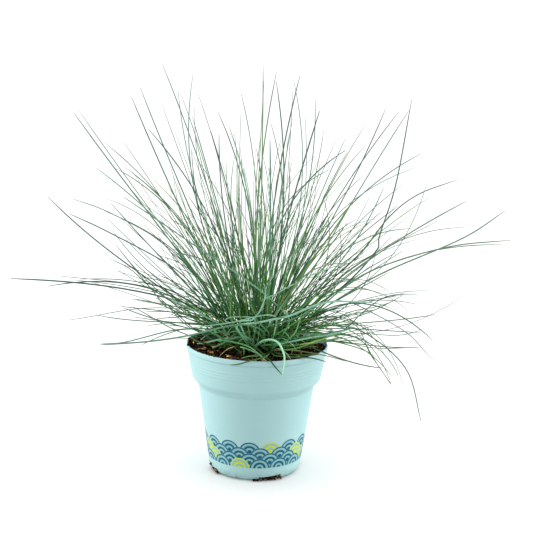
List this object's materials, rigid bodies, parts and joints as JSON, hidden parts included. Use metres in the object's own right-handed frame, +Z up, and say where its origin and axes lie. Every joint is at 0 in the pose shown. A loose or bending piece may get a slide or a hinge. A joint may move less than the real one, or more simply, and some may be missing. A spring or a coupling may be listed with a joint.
{
  "type": "potted blue fescue clump",
  "caption": "Tuft of fine blue-green grass leaves fanning out from a clump of shoots in a tapered plastic nursery pot filled with dark peat and bark.",
  "frame": {"origin": "centre of the pot's flat base, where it rests", "axes": "+Z up along the pot's axis, -Y towards the viewer of the picture, +X to the right"},
  "size_m": [0.426, 0.3201, 0.3449],
  "materials": {
    "pot_plastic": "thin moulded polypropylene, matt, with a printed band",
    "soil": "moist peat and bark, rough",
    "crown": "old leaf sheaths, matt and fibrous",
    "leaf": "glaucous leaf, satin with a waxy bloom"
  },
  "bodies": {
    "root": {"pot": "pot_plastic", "potting_soil": "soil", "crown": "crown", "tiller_01": "leaf", "tiller_02": "leaf", "tiller_03": "leaf", "tiller_04": "leaf", "tiller_05": "leaf", "tiller_06": "leaf", "tiller_07": "leaf", "tiller_08": "leaf", "tiller_09": "leaf", "tiller_10": "leaf", "tiller_11": "leaf", "tiller_12": "leaf", "tiller_13": "leaf", "tiller_14": "leaf", "tiller_15": "leaf", "tiller_16": "leaf", "tiller_17": "leaf", "tiller_18": "leaf", "tiller_19": "leaf", "tiller_20": "leaf", "tiller_21": "leaf", "tiller_22": "leaf", "tiller_23": "leaf", "tiller_24": "leaf", "tiller_25": "leaf", "tiller_26": "leaf", "tiller_27": "leaf", "tiller_28": "leaf", "tiller_29": "leaf", "tiller_30": "leaf", "tiller_31": "leaf", "tiller_32": "leaf", "tiller_33": "leaf", "tiller_34": "leaf", "tiller_35": "leaf", "tiller_36": "leaf", "tiller_37": "leaf", "tiller_38": "leaf", "tiller_39": "leaf", "tiller_40": "leaf", "tiller_41": "leaf", "tiller_42": "leaf", "tiller_43": "leaf", "tiller_44": "leaf", "tiller_45": "leaf", "tiller_46": "leaf", "tiller_47": "leaf", "tiller_48": "leaf", "tiller_49": "leaf", "tiller_50": "leaf", "tiller_51": "leaf", "tiller_52": "leaf", "tiller_53": "leaf", "tiller_54": "leaf", "tiller_55": "leaf", "tiller_56": "leaf"}
  },
  "joints": []
}
